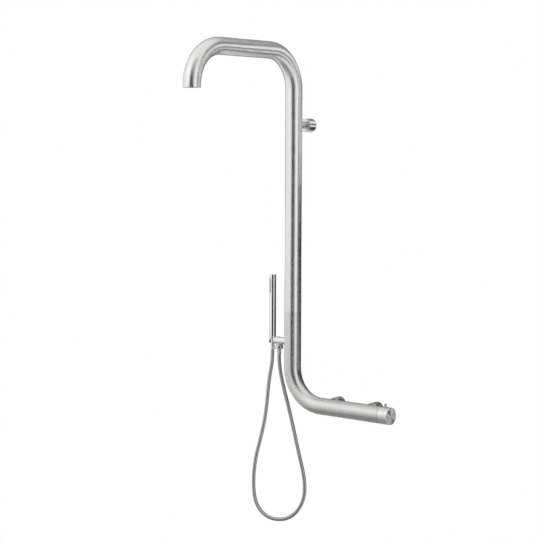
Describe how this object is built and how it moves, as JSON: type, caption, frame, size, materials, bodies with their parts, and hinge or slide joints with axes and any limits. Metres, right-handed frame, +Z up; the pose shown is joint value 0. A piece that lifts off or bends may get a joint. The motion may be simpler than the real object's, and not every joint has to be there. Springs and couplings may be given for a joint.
{
  "type": "wall-mounted outdoor shower",
  "caption": "Wall-mounted outdoor shower: one bent brushed steel tube with spout and mixer bar, end knob with a pin, slim hand shower in a side holder and a hanging hose.",
  "frame": {"origin": "on the wall, midway between the two water inlets, at the height of the mixer bar's axis", "axes": "+X along the wall to the right, towards the control knob; +Y into the wall, so -Y comes out of it; +Z up"},
  "size_m": [0.5469, 0.6, 1.5529],
  "materials": {
    "riser_steel": "drawn along the tube",
    "bar_steel": "brushed",
    "turned_steel": "turned",
    "knob_steel": "turned with a faced end",
    "hand_steel": "brushed",
    "hose_skin": "smooth metallic hose",
    "fitting_steel": "plain machined",
    "screw_steel": "plain",
    "brass_core": "machined",
    "seal_rubber": "moulded",
    "nozzle_rubber": "moulded silicone",
    "white_plastic": "moulded",
    "black_plastic": "moulded",
    "ceramic": "lapped ceramic"
  },
  "bodies": {
    "wall_unit": {"spout_riser_tube": "riser_steel", "mixer_bar_tube": "bar_steel", "riser_spigot": "fitting_steel", "riser_o_rings": "seal_rubber", "riser_grub_screws": "screw_steel", "spray_plate": "turned_steel", "spray_nozzle_mat": "nozzle_rubber", "spray_chamber": "black_plastic", "spray_o_ring": "seal_rubber", "spray_grub_screw": "screw_steel", "spout_feed_pipe": "white_plastic", "handset_feed_pipe": "white_plastic", "holder_elbow": "brass_core", "valve_body": "brass_core", "cartridge_housing": "black_plastic", "ceramic_disc_fixed": "ceramic", "cartridge_nut": "brass_core", "knob_guide_ring": "black_plastic", "inlet_posts": "turned_steel", "check_valve_shells": "white_plastic", "wall_unions": "brass_core", "filter_washers": "seal_rubber", "union_nuts": "brass_core", "rosettes": "turned_steel", "rosette_o_rings": "seal_rubber", "bracket_post": "turned_steel", "bracket_weld_boss": "fitting_steel", "bracket_wall_plate": "fitting_steel", "bracket_grub_screw": "screw_steel", "handset_holder": "turned_steel", "outlet_nipple": "turned_steel", "outlet_washer": "seal_rubber", "hose_outlet_nut": "turned_steel", "hose_outlet_ferrule": "fitting_steel", "shower_hose": "hose_skin"},
    "knob": {"ceramic_disc_turning": "ceramic", "cartridge_stem": "brass_core", "control_knob": "knob_steel", "knob_pin": "turned_steel", "knob_end_cap": "knob_steel", "knob_screw": "screw_steel"},
    "hose_end": {"hose_handset_ferrule": "fitting_steel"},
    "handset": {"hose_cone_nut": "hand_steel", "handset_washer": "seal_rubber", "handset_connector": "brass_core", "handset_tube": "hand_steel", "handset_top_cap": "hand_steel", "handset_spray_insert": "black_plastic", "handset_nozzle_strip": "nozzle_rubber"},
    "poppet_cold": {"check_poppet_cold": "black_plastic"},
    "poppet_hot": {"check_poppet_hot": "black_plastic"}
  },
  "joints": [
    {"name": "knob_turn", "type": "hinge", "parent": "wall_unit", "child": "knob", "pos_m": [0.172, -0.088, 0], "axis": [1, 0, 0], "range_deg": [-90, 90]},
    {"name": "handset_lift", "type": "slide", "parent": "wall_unit", "child": "hose_end", "axis": [0, 0, 1], "range_m": [0, 0.25], "deforming": ["shower_hose"]},
    {"name": "handset_turn", "type": "hinge", "parent": "hose_end", "child": "handset", "pos_m": [-0.2837, -0.0936, 0.3], "axis": [0, 0, 1], "continuous": true},
    {"name": "check_cold_open", "type": "slide", "parent": "wall_unit", "child": "poppet_cold", "axis": [0, -1, 0], "range_m": [0, 0.0025], "stiffness_N_per_m": 20, "springref_m": -0.003},
    {"name": "check_hot_open", "type": "slide", "parent": "wall_unit", "child": "poppet_hot", "axis": [0, -1, 0], "range_m": [0, 0.0025], "stiffness_N_per_m": 20, "springref_m": -0.003}
  ]
}
